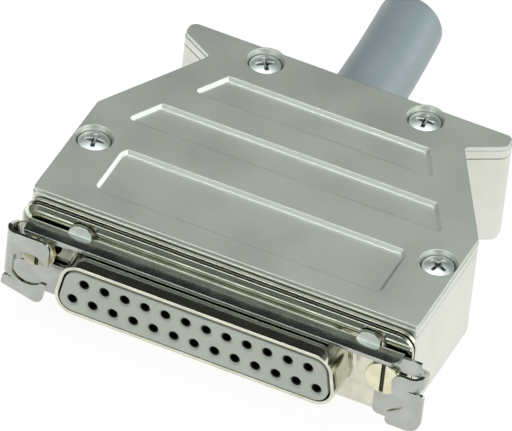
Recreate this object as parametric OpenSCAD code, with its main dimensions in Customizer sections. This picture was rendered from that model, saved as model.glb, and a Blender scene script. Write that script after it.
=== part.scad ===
// 25-way metal connector hood with a slide lock and a short cable.
// The hood lies flat on its base: +X to the right, +Y towards the cable, +Z up,
// with the origin at the middle of the flat underside.

/* [Hood] */
// Width of the hood across its straight sides
hood_w = 52.5; // [51.5:0.5:58]
// Depth from the front face to the rear face
hood_l = 39.2; // [38.8:0.2:46]
// Height of the closed hood
hood_h = 16; // [15.6:0.2:18]
// Length of the straight sides behind the front face
side_l = 18.95; // [18:0.25:20]
// Width at the waist in front of the rear wings
waist_w = 35.5; // [33:0.5:38]
// Width across the tips of the rear wings
wing_w = 44.8; // [42:0.2:46]
// Depth of a wing where it leaves the waist
wing_root = 5.15; // [4.8:0.1:5.4]
// Depth of a wing at its tip
wing_tip = 2.35; // [2.2:0.05:2.8]
// Thickness of the side walls and the front wall
wall_t = 2; // [1.6:0.1:2.2]
// Thickness of the floor
floor_t = 2; // [1.6:0.1:2.4]
// Thickness of the rear block that holds the cable
rear_block = 6.4; // [6:0.1:7]
// Radius along the lower outer edge
bottom_r = 1.3; // [0.8:0.1:1.3]

/* [Cover] */
// Thickness of the cover plate
cover_t = 1.9; // [1.8:0.1:2.4]
// Height of the set-back upper edge of the cover
cover_step_h = 0.65; // [0.4:0.05:0.8]
// Set-back of the upper edge
cover_step_in = 0.12; // [0.05:0.01:0.2]
// Height of the groove along the seam between cover and base
seam_groove_h = 0.15; // [0.05:0.05:0.3]
// Depth of that groove
seam_groove_in = 0.2; // [0.1:0.05:0.4]
// Depth of the locating rib below the cover
rib_h = 0.8; // [0.5:0.1:1.2]
// Thickness of the locating rib
rib_t = 1; // [0.8:0.1:1.2]
// Depth of the three recessed panels
panel_depth = 0.45; // [0.3:0.05:0.8]
// Width of the slope round a panel
panel_slope = 0.4; // [0.2:0.05:0.6]
// Half width of the panel next to the connector
panel_a_x = 19.5; // [18:0.25:20]
// Width of the slanted border that the rear panels keep from the edge
panel_border = 5.2; // [4.8:0.1:6]

/* [Cover screws] */
// Distance between the two screws beside the connector
front_screw_w = 47.08; // [46.6:0.02:47.4]
// Distance of these two behind the front face
front_screw_y = 12.45; // [12:0.05:13]
// Distance between the two screws beside the cable
rear_screw_w = 22.12; // [20:0.1:24]
// Distance of these two in front of the rear face
rear_screw_y = 2.4; // [2.3:0.05:3]
// Diameter of the pocket that takes a screw head
pocket_d = 4.9; // [4.7:0.05:5.1]
// Depth of the pocket
pocket_h = 1.35; // [1.2:0.05:1.4]
// Wall left outside a rear pocket
pocket_wall = 0.35; // [0.3:0.05:0.6]
// Diameter of a screw head
cover_head_d = 4.1; // [3.9:0.05:4.4]
// Height of a screw head
cover_head_h = 1; // [0.9:0.05:1.2]
// Diameter of the screw thread
cover_thread_d = 2.5; // [2.2:0.1:2.6]
// Length of the screw below its head
cover_screw_l = 8; // [6:0.5:9]

/* [Connector] */
// Height of the connector axis above the underside
axis_z = 8.8; // [8.6:0.05:9]
// Width of the shell at its wide side, corners taken sharp
shell_w = 39; // [38.8:0.1:39.2]
// Height of the shell
shell_h = 7.75; // [7.7:0.05:7.9]
// Slant of the shell's short sides in degrees
shell_slant = 10; // [8:1:12]
// Outer corner radius of the shell
shell_r = 2.6; // [2.4:0.1:2.8]
// Sheet thickness of the drawn shell
shell_t = 0.45; // [0.35:0.05:0.5]
// How far the shell stands in front of the flange
shell_l = 5.75; // [5.5:0.05:6.1]
// Width of the flange
flange_w = 53.04; // [52.6:0.02:53.2]
// Height of the flange
flange_h = 12.5; // [12.2:0.1:12.7]
// Corner radius of the flange
flange_r = 2.2; // [1.5:0.1:2.6]
// Thickness of each of the two flange sheets
flange_t = 0.5; // [0.4:0.05:0.6]
// Gap between the two sheets, filled by the insulators' collars
collar_gap = 0.4; // [0.3:0.05:0.5]
// How much larger than the front shell the rear shell is, all round
rear_grow = 1.03; // [0.95:0.01:1.05]
// Length of the rear shell behind its sheet
rear_shell_l = 2.6; // [2:0.1:3]
// How much larger than the front shell the insulators' collars are, all round
collar_grow = 0.85; // [0.8:0.01:0.9]
// How far the insulator stands in front of the shell
face_proud = 0.15; // [0.1:0.05:0.3]
// Length of the rear insulator behind the flange
rear_insulator_l = 3.85; // [3.5:0.05:4.2]
// Distance between the two lock screws
lock_w = 47.04; // [46.8:0.02:47.1]
// Diameter of the flange holes
flange_hole_d = 3.1; // [3.05:0.05:3.2]

/* [Contacts] */
// Contacts in the lower row
lower_count = 13; // [11:1:13]
// Distance between neighbours in a row
pitch = 2.7686; // [2.74:0.0001:2.79]
// Distance between the two rows
row_gap = 2.84; // [2.8:0.02:2.9]
// Diameter of the hole in a socket contact
socket_d = 1.06; // [1.02:0.01:1.1]
// Depth of that hole
socket_depth = 6; // [5:0.5:7]
// Diameter of a contact's barrel
barrel_d = 1.9; // [1.7:0.05:2]
// Diameter of a contact's shoulder
shoulder_ring_d = 2.3; // [2.2:0.05:2.4]
// Diameter of the hole in the insulator's face
entry_d = 1.35; // [1.2:0.05:1.5]
// Width of the chamfer round that hole
entry_chamfer = 0.28; // [0.2:0.02:0.3]
// Thickness of the insulator's lip in front of the contacts
face_lip = 0.35; // [0.32:0.01:0.5]
// Outer diameter of a solder cup
cup_d = 1.7; // [1.6:0.05:1.8]
// Length of a solder cup behind the rear insulator
cup_l = 3.5; // [3:0.1:4]
// Diameter of the bore in a solder cup
cup_bore_d = 1.1; // [1:0.05:1.2]

/* [Lock screws] */
// Diameter of the flat head
lock_head_d = 4.7; // [4.6:0.05:4.8]
// Thickness of the head
lock_head_t = 0.5; // [0.4:0.05:0.6]
// Diameter of the shoulder on which the lock slides
lock_shoulder_d = 3; // [2.9:0.05:3.2]
// Length of the shoulder
lock_shoulder_l = 1; // [0.9:0.05:1.2]
// Diameter of the thread
lock_thread_d = 2.84; // [2.8:0.01:2.9]
// Length of the thread behind the shoulder
lock_thread_l = 7; // [6:0.5:8]
// Width of the screwdriver slot
lock_slot_w = 0.55; // [0.4:0.05:0.7]
// Depth of the screwdriver slot
lock_slot_h = 0.3; // [0.2:0.05:0.35]

/* [Slide lock] */
// Travel from open to locked
lock_travel = 2.7; // [2.4:0.05:2.9]
// Sheet thickness
lock_t = 0.5; // [0.4:0.05:0.5]
// Height of the bar's top above the connector axis
bar_top = 4.6; // [4.55:0.05:4.8]
// Depth of the bar from front to back
bar_l = 2.95; // [2.6:0.05:3.1]
// Distance from the ears' front faces to the rear legs' back faces
fold_l = 4.25; // [4:0.05:4.4]
// Outer radius of the folded corners at the ears
fold_r = 1.5; // [1.3:0.05:1.8]
// Gap between a lock screw's head and the fold beside it
fold_clear = 0.1; // [0.08:0.01:0.2]
// Height of the right fold's lower end above the axis
right_fold_bottom = 2.4; // [2.1:0.05:2.7]
// Depth of the left fold's lower end below the axis
left_fold_drop = 2.4; // [1.6:0.05:2.6]
// Inner end of a rear leg
leg_in = 21.1; // [20.9:0.1:21.3]
// Width of the right leg outside its slot
right_leg_rim = 0.53; // [0.4:0.01:0.8]
// Lower end of a rear leg below the axis
leg_bottom = 6.35; // [6:0.05:6.5]
// Diameter of the keyhole in the left ear
keyhole_d = 5; // [4.9:0.05:5.2]
// Height of the tongues above the bar
tongue_h = 1.15; // [0.8:0.05:1.3]

/* [Cable] */
// Diameter of the cable where it leaves the hood
cable_d = 9.4; // [8.6:0.1:9.6]
// Diameter of the cable at its cut end
cable_end_d = 8.9; // [8.6:0.1:9.4]
// Length of the cable outside the hood
cable_out = 22; // [20:0.5:40]
// Radius of the cable's gentle bend
cable_bend_r = 250; // [150:10:400]
// Length of the jacket in front of the rear block
cable_in = 5.2; // [5:0.1:6]
// Thickness of the jacket
jacket_t = 0.75; // [0.6:0.05:0.9]
// Thickness of the braided screen
braid_t = 0.25; // [0.2:0.05:0.3]
// Length of the stripped screen in front of the jacket
braid_in = 3; // [2.5:0.1:3.5]
// Thickness of the crimped ferrule round the screen
ferrule_t = 0.5; // [0.4:0.05:0.7]
// Diameter of a wire over its insulation
wire_d = 0.7; // [0.6:0.05:0.74]
// Diameter of a wire's bare conductor
conductor_d = 0.6; // [0.4:0.05:0.65]

/* [Cable clamp] */
// Thickness of the clamp saddle
saddle_t = 0.7; // [0.6:0.05:0.75]
// Length of the saddle along the cable
saddle_l = 3.2; // [3:0.1:3.4]
// Distance of the clamp screws from the cable's surface
clamp_out = 2.9; // [2.8:0.05:3.2]
// Diameter of the clamp posts
clamp_post_d = 4; // [3.8:0.1:4.2]

/* [Fits] */
// Radial gap round a screw thread in its bore
thread_gap = 0.03; // [0.02:0.01:0.06]
// Radial gap round a screw in a plain hole
hole_gap = 0.15; // [0.1:0.05:0.2]
// Gap between parts that are laid into each other
lay_gap = 0.05; // [0.03:0.01:0.1]
// Gap between the lock's slots and the screws' shoulders
slide_gap = 0.1; // [0.08:0.01:0.15]

/* [Hidden] */

// Overrun of a cut past the face it opens
over = 1;
// Facets along a rounded corner and along a quarter round
corner_steps = 6;
// Sides of the cable's rings
cable_sides = 32;

// Hood
front_y = -hood_l / 2;
rear_y = hood_l / 2;
seam_z = hood_h - cover_t;
shoulder_y = front_y + side_l;
waist_y = rear_y - wing_root;
wing_y = rear_y - wing_tip;
block_y = rear_y - rear_block;
front_corner_r = 0.6;
shoulder_r = 1.2;
waist_r = 0.4;
wing_r = 1.1;

// Cover screws
front_screw = [front_screw_w / 2, front_y + front_screw_y];
rear_screw = [rear_screw_w / 2, rear_y - rear_screw_y];
rear_boss_r = pocket_d / 2 + pocket_wall;
post_r = 2.6;
cover_bore_depth = cover_screw_l + 0.5;

// Connector, along Y from the hood's front face
pad_t = 0.2;
rear_sheet_back = -pad_t;
rear_sheet_front = rear_sheet_back - flange_t;
front_sheet_back = rear_sheet_front - collar_gap;
front_sheet_front = front_sheet_back - flange_t;
rim_y = front_sheet_front - shell_l;
face_y = rim_y - face_proud;
split_y = (front_sheet_back + rear_sheet_front) / 2;
face_gap = 0.3;
pad_r = 2.7;
opening_half = 20.9;
opening_bottom = 5.4;
boss_half = lock_w / 2 - 21.1;
boss_l = 6.5;

// Contacts
contact_y = face_y + face_lip + lay_gap;
ring_front = split_y - 0.7;
ring_back = split_y + 0.45;
cup_front = rear_sheet_back + rear_insulator_l;
cup_back = cup_front + cup_l;
cup_bore_l = 2.4;
lower_row = [for (i = [0 : lower_count - 1])
    [(i - (lower_count - 1) / 2) * pitch, -row_gap / 2]];
upper_row = [for (i = [0 : lower_count - 2])
    [(i - (lower_count - 2) / 2) * pitch, row_gap / 2]];

// Lock screws and slide lock, along Y from the hood's front face
lock_head_back = front_sheet_front - lock_shoulder_l;
lock_head_front = lock_head_back - lock_head_t;
head_gap = 0.15;
leg_front = lock_head_back + head_gap;
leg_back = leg_front + lock_t;
ear_front = leg_back - fold_l;
ear_back = ear_front + lock_t;
fold_inner_r = fold_r - lock_t;
fold_start = lock_w / 2 + (lock_head_d + lock_travel) / 2 + fold_clear
    - sqrt(pow(fold_inner_r, 2) - pow(fold_r - lock_t - head_gap, 2));
fold_out = fold_start + fold_r;
fold_cut = 0.15;
fold_fall = 0.6;
slot_half = lock_shoulder_d / 2 + slide_gap;
slot_end = lock_w / 2 + lock_travel / 2 + lock_shoulder_d / 2 + slide_gap;
bar_front = leg_back - bar_l;
bar_bottom = bar_top - lock_t;
bar_bend_r = 0.8;
bar_tip_r = 1.2;
bar_left_end = 26.3;
bar_right_end = 24.45;
leg_top = bar_top - bar_bend_r;
left_ear_top = bar_top;
right_ear_top = bar_top - 0.35;
keyhole_in = 0.22;
keyhole_drop = 0.25;
tongue_in = 18;
tongue_out = 21.2;

// Cable, along Y in the hood's frame
jacket_y = block_y - cable_in;
braid_y = jacket_y - braid_in;
core_y = braid_y - 0.6;
braid_r = cable_d / 2 - jacket_t - lay_gap;
clamp_y = block_y - 0.3 - saddle_l / 2;
clamp_x = cable_d / 2 + clamp_out;
clamp_post_z = axis_z - 1;
saddle_r = cable_d / 2 + lay_gap + saddle_t;
clamp_thread_d = 2;
clamp_head_d = 3.6;
clamp_head_h = 1.3;
clamp_screw_l = 4.5;
wire_step_x = 0.37;
wire_step_z = 0.8;
channel_r = cable_d / 2 + 0.1;

// ---------- outlines ----------

function unit(v) = v / norm(v);

function left_normal(v) = [-v[1], v[0]];

function spun(v, angle) = [
    v[0] * cos(angle) - v[1] * sin(angle),
    v[0] * sin(angle) + v[1] * cos(angle)
];

// One corner of an outline as an arc of radius r
function corner(before, at, after, r, steps) =
    let (
        a = unit(before - at),
        b = unit(after - at),
        half = acos(a * b) / 2,
        centre = at + unit(a + b) * r / sin(half),
        start = at + a * r / tan(half) - centre,
        way = cross(at - before, after - at) > 0 ? 1 : -1
    )
    [for (i = [0 : steps]) centre + spun(start, way * (180 - 2 * half) * i / steps)];

// A closed outline with every corner rounded by its own radius
function rounded(points, radii, steps = corner_steps) =
    let (n = len(points))
    [for (i = [0 : n - 1])
        each corner(points[(i + n - 1) % n], points[i], points[(i + 1) % n], radii[i], steps)];

// The same anticlockwise outline with each edge moved inwards by d
function inset(points, d) =
    let (n = len(points))
    [for (i = [0 : n - 1])
        let (
            at = points[i],
            n1 = left_normal(unit(at - points[(i + n - 1) % n])),
            n2 = left_normal(unit(points[(i + 1) % n] - at))
        )
        at + (n1 + n2) * d / (1 + n1 * n2)];

// The corner radii that go with an outline moved inwards by d
function inset_radii(points, radii, d) =
    let (n = len(points))
    [for (i = [0 : n - 1])
        let (
            turn = cross(points[i] - points[(i + n - 1) % n], points[(i + 1) % n] - points[i])
        )
        turn > 0 ? max(radii[i] - d, 0.05) : radii[i] + d];

function inset_rounded(points, radii, d) =
    rounded(inset(points, d), inset_radii(points, radii, d));

// A right half, from front to rear, completed by its mirror image
function both_sides(half) =
    concat(half, [for (i = [len(half) - 1 : -1 : 0]) [-half[i][0], half[i][1]]]);

function both_radii(half) = concat(half, [for (i = [len(half) - 1 : -1 : 0]) half[i]]);

function raised(points, z) = [for (p = points) [p[0], p[1], z]];

// A closed solid through rings of equally many points. Each end is closed by strips
// between a ring's first and last points, so a ring may be waisted if it is symmetric.
module loft(rings) {
    n = len(rings[0]);
    last = (len(rings) - 1) * n;
    polyhedron(
        points = [for (ring = rings) each ring],
        faces = concat(
            [for (i = [0 : n / 2 - 2]) [i, i + 1, n - 2 - i, n - 1 - i]],
            [for (i = [0 : n / 2 - 2]) [last + n - 1 - i, last + n - 2 - i, last + i + 1, last + i]],
            [for (k = [0 : n : last - 1], i = [0 : n - 1])
                [k + i, k + n + i, k + n + (i + 1) % n, k + (i + 1) % n]]
        )
    );
}

// An outline in the X-Z plane, extruded from y0 to y1
module along_y(y0, y1) {
    translate([0, y1, 0]) rotate([90, 0, 0]) linear_extrude(y1 - y0) children();
}

// A turned part: its axis runs along +Y from y0
module turned_along_y(y0) {
    translate([0, y0, 0]) rotate([-90, 0, 0]) children();
}

module both_ends() {
    children();
    mirror([1, 0, 0]) children();
}

module at_connector() {
    translate([0, front_y, axis_z]) children();
}

// ---------- hood ----------

hood_half = [
    [hood_w / 2, front_y], [hood_w / 2, shoulder_y], [waist_w / 2, waist_y],
    [wing_w / 2, wing_y], [wing_w / 2, rear_y]
];
hood_corners = both_sides(hood_half);
hood_radii = both_radii([front_corner_r, shoulder_r, waist_r, wing_r, wing_r]);

// Half width of the hood on its slanted side at depth y
function slant_x(y) =
    hood_w / 2 - (y - shoulder_y) * (hood_w - waist_w) / 2 / (waist_y - shoulder_y);

cavity_half = [
    [hood_w / 2, front_y], [hood_w / 2, shoulder_y],
    [slant_x(block_y + wall_t), block_y + wall_t]
];
cavity_corners = inset(both_sides(cavity_half), wall_t);
cavity_radii = both_radii([0.8, 1, 1.5]);

// A hood-shaped block with its lower edge rounded
module hood_block(height) {
    arc = [for (i = [0 : corner_steps]) 90 * i / corner_steps];
    low_rings = [for (angle = arc)
        raised(
            inset_rounded(hood_corners, hood_radii, bottom_r * (1 - sin(angle))),
            bottom_r * (1 - cos(angle))
        )];
    loft(concat(low_rings, [raised(rounded(hood_corners, hood_radii), height)]));
    both_ends() translate([rear_screw[0], rear_screw[1], 0]) rotate_extrude() {
        translate([0, bottom_r]) square([rear_boss_r, height - bottom_r]);
        square([rear_boss_r - bottom_r, bottom_r + 0.1]);
        intersection() {
            translate([rear_boss_r - bottom_r, bottom_r]) circle(bottom_r);
            square([rear_boss_r, bottom_r + 0.1]);
        }
    }
}

module cavity_outline() {
    difference() {
        polygon(rounded(cavity_corners, cavity_radii));
        both_ends() translate(front_screw) circle(post_r);
        both_ends() translate([lock_w / 2 - boss_half, front_y]) square([boss_half + 4, boss_l]);
    }
}

module clamp_posts() {
    both_ends() translate([clamp_x, clamp_y, floor_t - 0.5])
        cylinder(d = clamp_post_d, h = clamp_post_z - floor_t + 0.5);
}

module cable_channel() {
    translate([0, 0, axis_z]) along_y(block_y - over, rear_y + over) circle(channel_r);
    translate([-channel_r, block_y - over, axis_z])
        cube([2 * channel_r, rear_block + 2 * over, hood_h]);
}

module hood_base() {
    color([0.66, 0.67, 0.64]) difference() {
        union() {
            difference() {
                hood_block(seam_z);
                translate([0, 0, floor_t]) linear_extrude(hood_h) cavity_outline();
            }
            clamp_posts();
            both_ends() at_connector() translate([lock_w / 2, 0, 0])
                along_y(-pad_t, 0.5) circle(pad_r);
        }
        cable_channel();
        at_connector() translate([-opening_half, -over, -opening_bottom])
            cube([2 * opening_half, wall_t + over + 0.5, hood_h]);
        both_ends() translate([front_screw[0], front_screw[1], seam_z - cover_bore_depth])
            cylinder(d = cover_thread_d + 2 * thread_gap, h = hood_h);
        both_ends() translate([rear_screw[0], rear_screw[1], seam_z - cover_bore_depth])
            cylinder(d = cover_thread_d + 2 * thread_gap, h = hood_h);
        both_ends() at_connector() translate([lock_w / 2, -over, 0]) rotate([-90, 0, 0])
            cylinder(d = lock_thread_d + 2 * thread_gap, h = boss_l + 2 * over);
        both_ends() translate([clamp_x, clamp_y, clamp_post_z - clamp_screw_l])
            cylinder(d = clamp_thread_d + 2 * thread_gap, h = hood_h);
    }
}

// ---------- cover ----------

// Panels are listed as corners from front right, anticlockwise
panel_a = [
    [panel_a_x, front_y + 3.65], [panel_a_x, front_y + 11.55],
    [panel_a_x - 0.6, front_y + 12.5]
];
panel_b = [
    [slant_x(front_y + 17.85) - panel_border, front_y + 17.85],
    [slant_x(front_y + 22.7) - panel_border, front_y + 22.7]
];
panel_c = [
    [slant_x(front_y + 26.85) - panel_border, front_y + 26.85],
    [slant_x(front_y + 31.75) - panel_border, front_y + 31.75]
];

// A shallow recess with sloping walls
module panel(half, radii) {
    corners = both_sides(half);
    all_radii = both_radii(radii);
    loft([
        raised(inset_rounded(corners, all_radii, panel_slope), hood_h - panel_depth),
        raised(rounded(corners, all_radii), hood_h),
        raised(rounded(corners, all_radii), hood_h + over)
    ]);
}

module cover_tongue() {
    translate([lay_gap - channel_r, block_y + lay_gap, axis_z + channel_r / 2])
        cube([2 * (channel_r - lay_gap), rear_block - lay_gap, seam_z - axis_z - channel_r / 2]);
}

// Room under the cover for the cable with its ferrule, and for the clamp saddle
module cable_room() {
    translate([0, 0, axis_z]) {
        along_y(braid_y, rear_y + over) circle(channel_r);
        along_y(clamp_y - saddle_l / 2 - lay_gap, clamp_y + saddle_l / 2 + lay_gap)
            circle(saddle_r + lay_gap);
    }
}

module cover_rib() {
    gap_front = front_y + boss_l + 0.3;
    translate([0, 0, seam_z - rib_h]) linear_extrude(rib_h) intersection() {
        difference() {
            polygon(inset_rounded(cavity_corners, cavity_radii, 2 * lay_gap));
            polygon(inset_rounded(cavity_corners, cavity_radii, 2 * lay_gap + rib_t));
            both_ends() translate(front_screw) circle(post_r + 2 * lay_gap);
        }
        translate([-hood_w, gap_front]) square([2 * hood_w, block_y - 2 - gap_front]);
    }
}

// One layer of the cover plate between two heights, set back all round
module cover_layer(low, high, set_back) {
    translate([0, 0, low]) linear_extrude(high - low) {
        polygon(inset_rounded(hood_corners, hood_radii, set_back));
        both_ends() translate(rear_screw) circle(rear_boss_r - set_back);
    }
}

module hood_cover() {
    step_z = hood_h - cover_step_h;
    color([0.68, 0.69, 0.66]) difference() {
        union() {
            cover_layer(seam_z, seam_z + seam_groove_h, seam_groove_in);
            cover_layer(seam_z + seam_groove_h, step_z, 0);
            cover_layer(step_z, hood_h, cover_step_in);
            cover_tongue();
            cover_rib();
        }
        cable_room();
        panel(panel_a, [1, 0.3, 0.3]);
        panel(panel_b, [0.5, 0.5]);
        panel(panel_c, [0.5, 0.5]);
        for (place = [front_screw, rear_screw]) both_ends() translate([place[0], place[1], 0]) {
            translate([0, 0, hood_h - pocket_h]) cylinder(d = pocket_d, h = hood_h);
            cylinder(d = cover_thread_d + 2 * hole_gap, h = hood_h + over);
        }
    }
}

// ---------- cover screws ----------

// Pan head with a cross recess, its head's underside at z = 0
module cross_screw(head_d, head_h, thread_d, length) {
    dome_r = head_d;
    dome_drop = dome_r - sqrt(dome_r * dome_r - head_d * head_d / 4);
    recess_w = head_d * 0.13;
    recess_l = head_d * 0.56;
    difference() {
        union() {
            intersection() {
                cylinder(d = head_d, h = head_h);
                translate([0, 0, head_h - dome_r]) sphere(dome_r);
            }
            translate([0, 0, -length]) cylinder(d = thread_d, h = length + 0.1);
        }
        for (angle = [0, 90]) rotate(angle)
            translate([-recess_l / 2, -recess_w / 2, head_h - dome_drop - 0.35])
                cube([recess_l, recess_w, head_h]);
        translate([0, 0, head_h - 0.8]) cylinder(r1 = 0.3, r2 = 0.9, h = 0.9);
    }
}

module cover_screw(place, side, turn) {
    color([0.8, 0.81, 0.82])
        translate([side * place[0], place[1], hood_h - pocket_h]) rotate(turn)
            cross_screw(cover_head_d, cover_head_h, cover_thread_d, cover_screw_l);
}

// ---------- connector ----------

// Shell outline with its wide side down, grown outwards by d
shell_top_half = shell_w / 2 - shell_h * tan(shell_slant);
shell_corners = [
    [shell_w / 2, -shell_h / 2], [shell_top_half, shell_h / 2],
    [-shell_top_half, shell_h / 2], [-shell_w / 2, -shell_h / 2]
];

module shell_outline(d) {
    polygon(inset_rounded(shell_corners, [shell_r, shell_r, shell_r, shell_r], -d));
}

module flange_outline() {
    half = [flange_w / 2, flange_h / 2];
    difference() {
        polygon(rounded(
            [[half[0], -half[1]], half, [-half[0], half[1]], -half],
            [flange_r, flange_r, flange_r, flange_r]
        ));
        both_ends() translate([lock_w / 2, 0]) circle(d = flange_hole_d);
    }
}

module front_shell() {
    color([0.72, 0.72, 0.7]) at_connector() {
        along_y(front_sheet_front, front_sheet_back) difference() {
            flange_outline();
            shell_outline(-shell_t);
        }
        along_y(rim_y, front_sheet_front) difference() {
            shell_outline(0);
            shell_outline(-shell_t);
        }
    }
}

module rear_shell() {
    color([0.72, 0.72, 0.7]) at_connector() {
        along_y(rear_sheet_front, rear_sheet_back) difference() {
            flange_outline();
            shell_outline(rear_grow - shell_t);
        }
        along_y(rear_sheet_back, rear_shell_l) difference() {
            shell_outline(rear_grow);
            shell_outline(rear_grow - shell_t);
        }
    }
}

// Round holes at every contact, in the plane of an outline
module contact_holes(d) {
    for (place = concat(upper_row, lower_row)) translate(place) circle(d = d);
}

module front_insulator() {
    core = -shell_t - face_gap;
    color([0.68, 0.68, 0.67]) at_connector() {
        difference() {
            along_y(face_y, face_y + face_lip) difference() {
                shell_outline(core);
                contact_holes(entry_d);
            }
            for (place = concat(upper_row, lower_row))
                translate([place[0], face_y - 0.02, place[1]]) rotate([-90, 0, 0])
                    cylinder(
                        d1 = entry_d + 2 * entry_chamfer + 0.04,
                        d2 = entry_d, h = entry_chamfer + 0.02
                    );
        }
        along_y(face_y + face_lip, ring_front - lay_gap) difference() {
            shell_outline(core);
            contact_holes(barrel_d + 2 * lay_gap);
        }
        along_y(ring_front - lay_gap, front_sheet_back) difference() {
            shell_outline(core);
            contact_holes(shoulder_ring_d + 2 * lay_gap);
        }
        along_y(front_sheet_back, split_y) difference() {
            shell_outline(collar_grow);
            contact_holes(shoulder_ring_d + 2 * lay_gap);
        }
    }
}

module rear_insulator() {
    core = rear_grow - shell_t - lay_gap;
    color([0.13, 0.13, 0.13]) at_connector() {
        along_y(split_y, rear_sheet_front) difference() {
            shell_outline(collar_grow);
            contact_holes(shoulder_ring_d + 2 * lay_gap);
        }
        along_y(rear_sheet_front, ring_back + lay_gap) difference() {
            shell_outline(core);
            contact_holes(shoulder_ring_d + 2 * lay_gap);
        }
        along_y(ring_back + lay_gap, cup_front) difference() {
            shell_outline(core);
            contact_holes(barrel_d + 2 * lay_gap);
        }
    }
}

// One turned socket contact with an open solder cup at its rear
module contact() {
    ring_s = ring_front - contact_y;
    ring_e = ring_back - contact_y;
    cup_s = cup_front - contact_y;
    end_s = cup_back - contact_y;
    turned_along_y(contact_y) difference() {
        rotate_extrude() polygon([
            [socket_d / 2, 0], [barrel_d / 2, 0], [barrel_d / 2, ring_s],
            [shoulder_ring_d / 2, ring_s], [shoulder_ring_d / 2, ring_e],
            [barrel_d / 2, ring_e], [barrel_d / 2, cup_s + 0.3], [cup_d / 2, cup_s + 0.3],
            [cup_d / 2, end_s], [cup_bore_d / 2, end_s], [cup_bore_d / 2, end_s - cup_bore_l],
            [0, end_s - cup_bore_l], [0, socket_depth], [socket_d / 2, socket_depth]
        ]);
        translate([-cup_d, -cup_d, end_s - cup_bore_l + 0.5]) cube([2 * cup_d, cup_d - 0.15, cup_l]);
    }
}

module upper_contacts() {
    color([0.85, 0.7, 0.35]) at_connector()
        for (place = upper_row) translate([place[0], 0, place[1]]) contact();
}

module lower_contacts() {
    color([0.85, 0.7, 0.35]) at_connector()
        for (place = lower_row) translate([place[0], 0, place[1]]) mirror([0, 0, 1]) contact();
}

// ---------- lock screws ----------

module lock_screw() {
    color([0.78, 0.76, 0.62]) at_connector() translate([lock_w / 2, 0, 0])
        turned_along_y(lock_head_front) difference() {
            rotate_extrude() polygon([
                [0, 0], [lock_head_d / 2 - 0.08, 0], [lock_head_d / 2, 0.08],
                [lock_head_d / 2, lock_head_t], [lock_shoulder_d / 2, lock_head_t],
                [lock_shoulder_d / 2, lock_head_t + lock_shoulder_l],
                [lock_thread_d / 2, lock_head_t + lock_shoulder_l],
                [lock_thread_d / 2, lock_head_t + lock_shoulder_l + lock_thread_l],
                [0, lock_head_t + lock_shoulder_l + lock_thread_l]
            ]);
            translate([-lock_slot_w / 2, -lock_head_d, -over])
                cube([lock_slot_w, 2 * lock_head_d, over + lock_slot_h]);
        }
}

// ---------- slide lock ----------

// Leg behind an ear: a plate in front of the flange, slotted from its inner end
module rear_leg(bar_end, low_out, low, top) {
    along_y(leg_front, leg_back) difference() {
        union() {
            polygon(rounded(
                [[leg_in, -leg_bottom], [low_out, -leg_bottom], [low_out, low - fold_cut],
                    [leg_in, low - fold_cut]],
                [0.8, 0.8, 0.1, 0.1]
            ));
            translate([leg_in, low - 1]) square([fold_start - leg_in, leg_top - low + 1]);
            translate([bar_end, leg_top - 1])
                square([fold_start - bar_end, top - fold_fall - leg_top + 1]);
        }
        translate([leg_in - over, -slot_half]) square([slot_end - leg_in + over, 2 * slot_half]);
    }
}

// Quarter of a folded corner round a centre at depth y, on the side given
module fold_corner(y, side) {
    intersection() {
        translate([fold_start, y]) difference() {
            circle(fold_r);
            circle(fold_inner_r);
        }
        translate([fold_start, side > 0 ? y : y - fold_r]) square([fold_r, fold_r]);
    }
}

// Sheet folded back from an ear to the leg behind it, its upper edge sloping
module ear_fold(low, top) {
    front_centre = ear_front + fold_r;
    rear_centre = leg_back - fold_r;
    slope = atan2(fold_fall, rear_centre - front_centre);
    difference() {
        translate([0, 0, low]) linear_extrude(top - low) {
            fold_corner(front_centre, -1);
            fold_corner(rear_centre, 1);
            translate([fold_out - lock_t, front_centre - 0.01])
                square([lock_t, rear_centre - front_centre + 0.02]);
        }
        translate([fold_start - over, front_centre, top]) rotate([-slope, 0, 0])
            cube([fold_r + 2 * over, fold_l, fold_l]);
        translate([fold_start - over, rear_centre, top - fold_fall])
            cube([fold_r + 2 * over, fold_l, fold_l]);
    }
}

// Ear with a keyhole that opens towards the connector
module keyhole_ear() {
    hole_x = (lock_w + lock_travel) / 2 - keyhole_in;
    low = -left_fold_drop - fold_cut;
    along_y(ear_front, ear_back) difference() {
        polygon(rounded(
            [[22.1, -1.95], [22.6, -5.4], [fold_out - 0.12, -3.95], [fold_out - 0.3, low],
                [fold_start, low], [fold_start, left_ear_top], [22, left_ear_top]],
            [0.3, 1, 0.3, 0.3, 0.05, 0.05, 1.2]
        ));
        translate([hole_x, -keyhole_drop]) circle(d = keyhole_d);
        translate([hole_x - 4, -1.95]) square([4, 2.8]);
    }
}

// Ear with a tapered notch, open towards the connector
module notch_ear() {
    low = right_fold_bottom - fold_cut;
    along_y(ear_front, ear_back) polygon(rounded(
        [[fold_start, right_ear_top], [25.1, right_ear_top], [24.45, 3.2], [24.65, 1.25],
            [26.85, -0.3], [24.2, -2.1], [24.15, -3.9], [fold_out + 0.55, -3.9],
            [fold_out + 0.55, low], [fold_start, low]],
        [0.05, 0.8, 0.4, 0.3, 0.7, 0.4, 0.7, 2, 0.4, 0.05]
    ));
}

// Section of the bar's rear edge: a bend of the given radii round a point
module bend_section(y, z, outer, inner) {
    intersection() {
        translate([y, z]) difference() {
            circle(outer);
            circle(inner);
        }
        translate([y, z]) square(outer);
    }
}

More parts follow.
